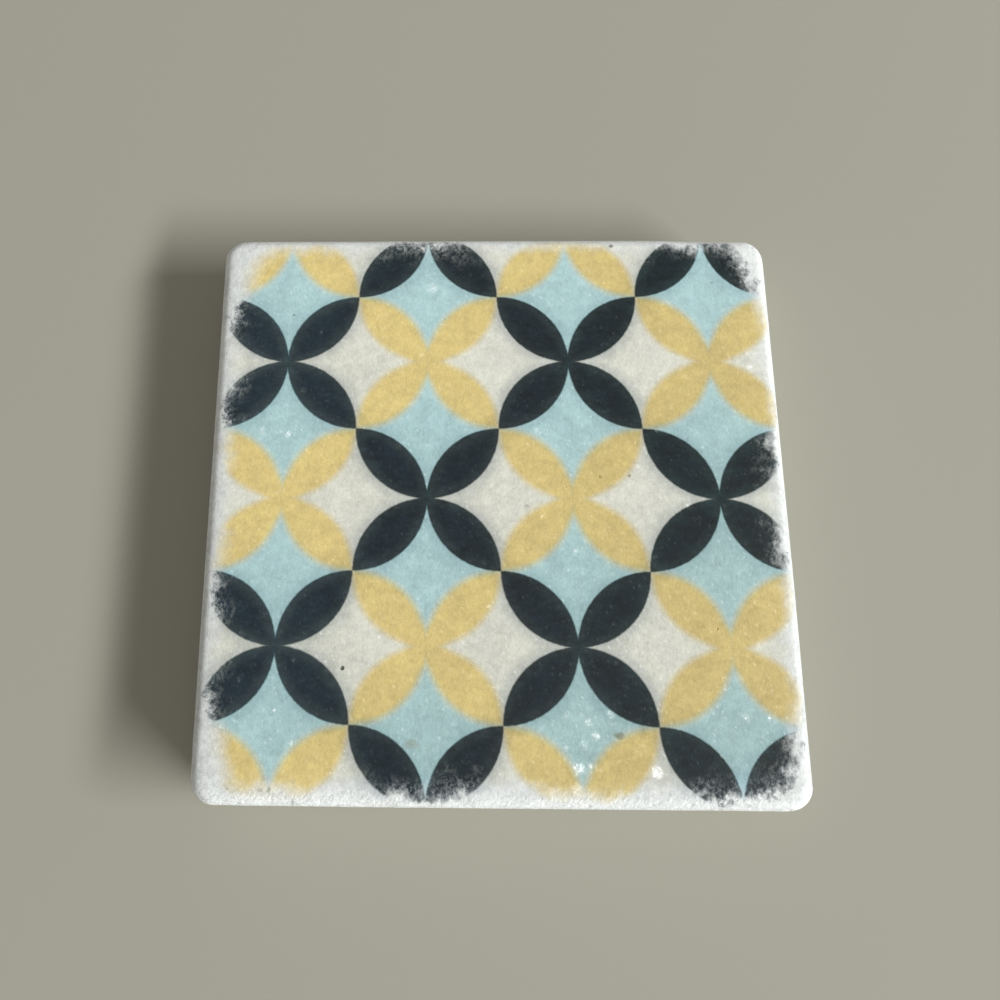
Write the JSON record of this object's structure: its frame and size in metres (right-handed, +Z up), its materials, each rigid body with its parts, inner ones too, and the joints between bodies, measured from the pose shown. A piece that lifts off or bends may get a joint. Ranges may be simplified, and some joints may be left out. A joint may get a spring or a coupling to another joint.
{
  "type": "drink coaster",
  "caption": "Square coaster of tumbled stone with a dyed pattern of overlapping circles and small rubber feet, for standing a drink on.",
  "frame": {"origin": "centre of the coaster's footprint, on the surface that its feet stand on", "axes": "+Z up out of the printed face, +X to the right and +Y to the back as the print is seen in the picture"},
  "size_m": [0.1, 0.1, 0.0122],
  "materials": {
    "marble": "tumbled, matt, with small crystals that glint",
    "navy_dye": "dyed stone, matt, worn at the tile's edges",
    "mustard_dye": "dyed stone, matt, with soft outlines",
    "pale_blue_dye": "dyed stone, matt, with soft outlines",
    "foot_rubber": "moulded, matt",
    "adhesive": "clear acrylic film"
  },
  "bodies": {
    "root": {"stone_tile": "marble", "navy_petals": "navy_dye", "mustard_petals": "mustard_dye", "pale_blue_stars": "pale_blue_dye", "foot_front_left": "foot_rubber", "foot_front_right": "foot_rubber", "foot_back_left": "foot_rubber", "foot_back_right": "foot_rubber", "adhesive_front_left": "adhesive", "adhesive_front_right": "adhesive", "adhesive_back_left": "adhesive", "adhesive_back_right": "adhesive"}
  },
  "joints": []
}
